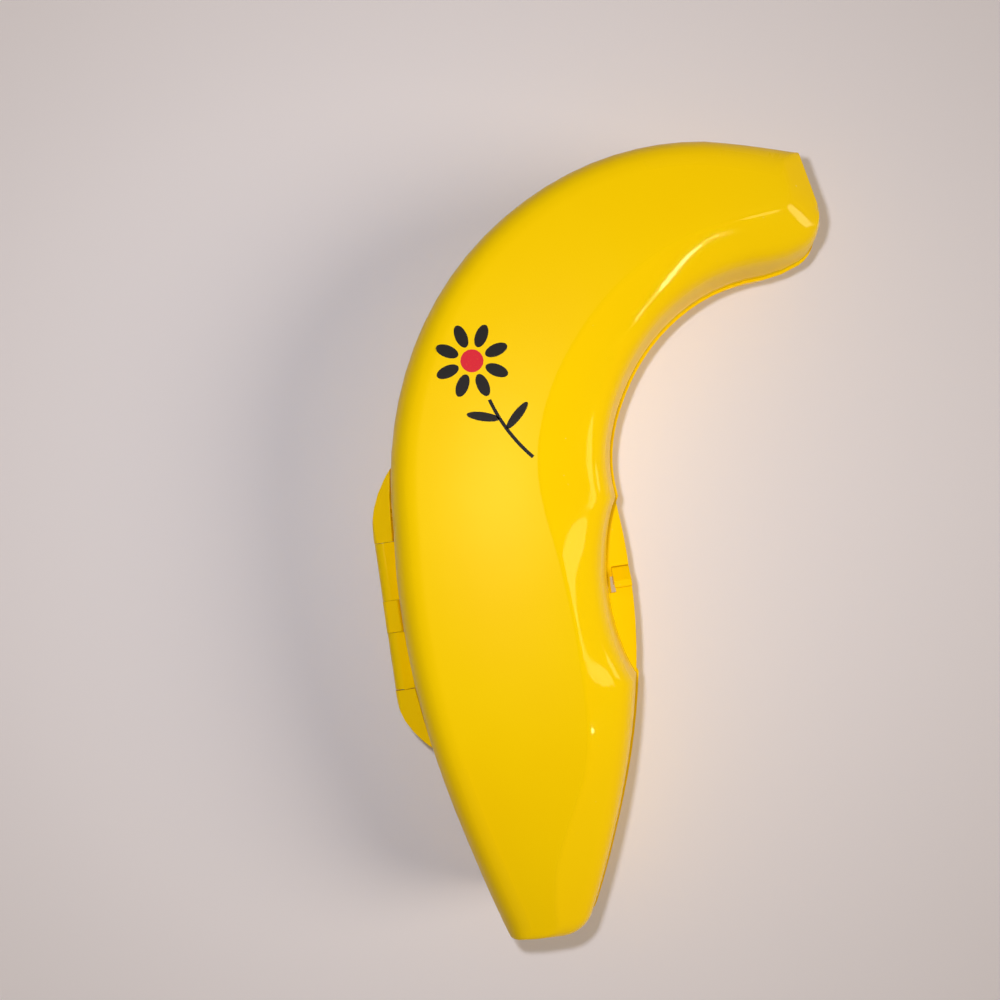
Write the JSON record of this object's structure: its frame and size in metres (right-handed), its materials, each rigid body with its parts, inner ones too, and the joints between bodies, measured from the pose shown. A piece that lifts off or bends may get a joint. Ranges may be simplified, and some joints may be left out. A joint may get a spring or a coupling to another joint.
{
  "type": "banana carrying case",
  "caption": "Hinged banana-shaped carrying case with a flat front panel, a sloping glossy band along the inner curve, and a snap latch in a finger scoop.",
  "frame": {"origin": "under the middle of the closed case, on the face of the back panel that it lies on", "axes": "+Z from the back half to the front half, +Y along the hinge towards the stem end, +X from the hinge towards the finger scoop"},
  "size_m": [0.1304, 0.2026, 0.048],
  "materials": {
    "shell": "injection-moulded yellow plastic, finely grained on the flat panels and glossy elsewhere",
    "pin": "drawn wire, plain"
  },
  "bodies": {
    "rear": {"rear_shell": "shell", "hinge_pin": "pin"},
    "front": {"front_shell": "shell"},
    "latch": {"latch_hook": "shell"}
  },
  "joints": [
    {"name": "front_opening", "type": "hinge", "parent": "rear", "child": "front", "pos_m": [-0.06303, -0.01183, 0.024], "axis": [0, -1, 0], "range_deg": [0, 180]},
    {"name": "hook_flex", "type": "hinge", "parent": "rear", "child": "latch", "pos_m": [0.00014, -0.00743, 0.02285], "axis": [-1, 0, 0], "range_deg": [0, 9], "stiffness_Nm_per_rad": 0.1}
  ]
}
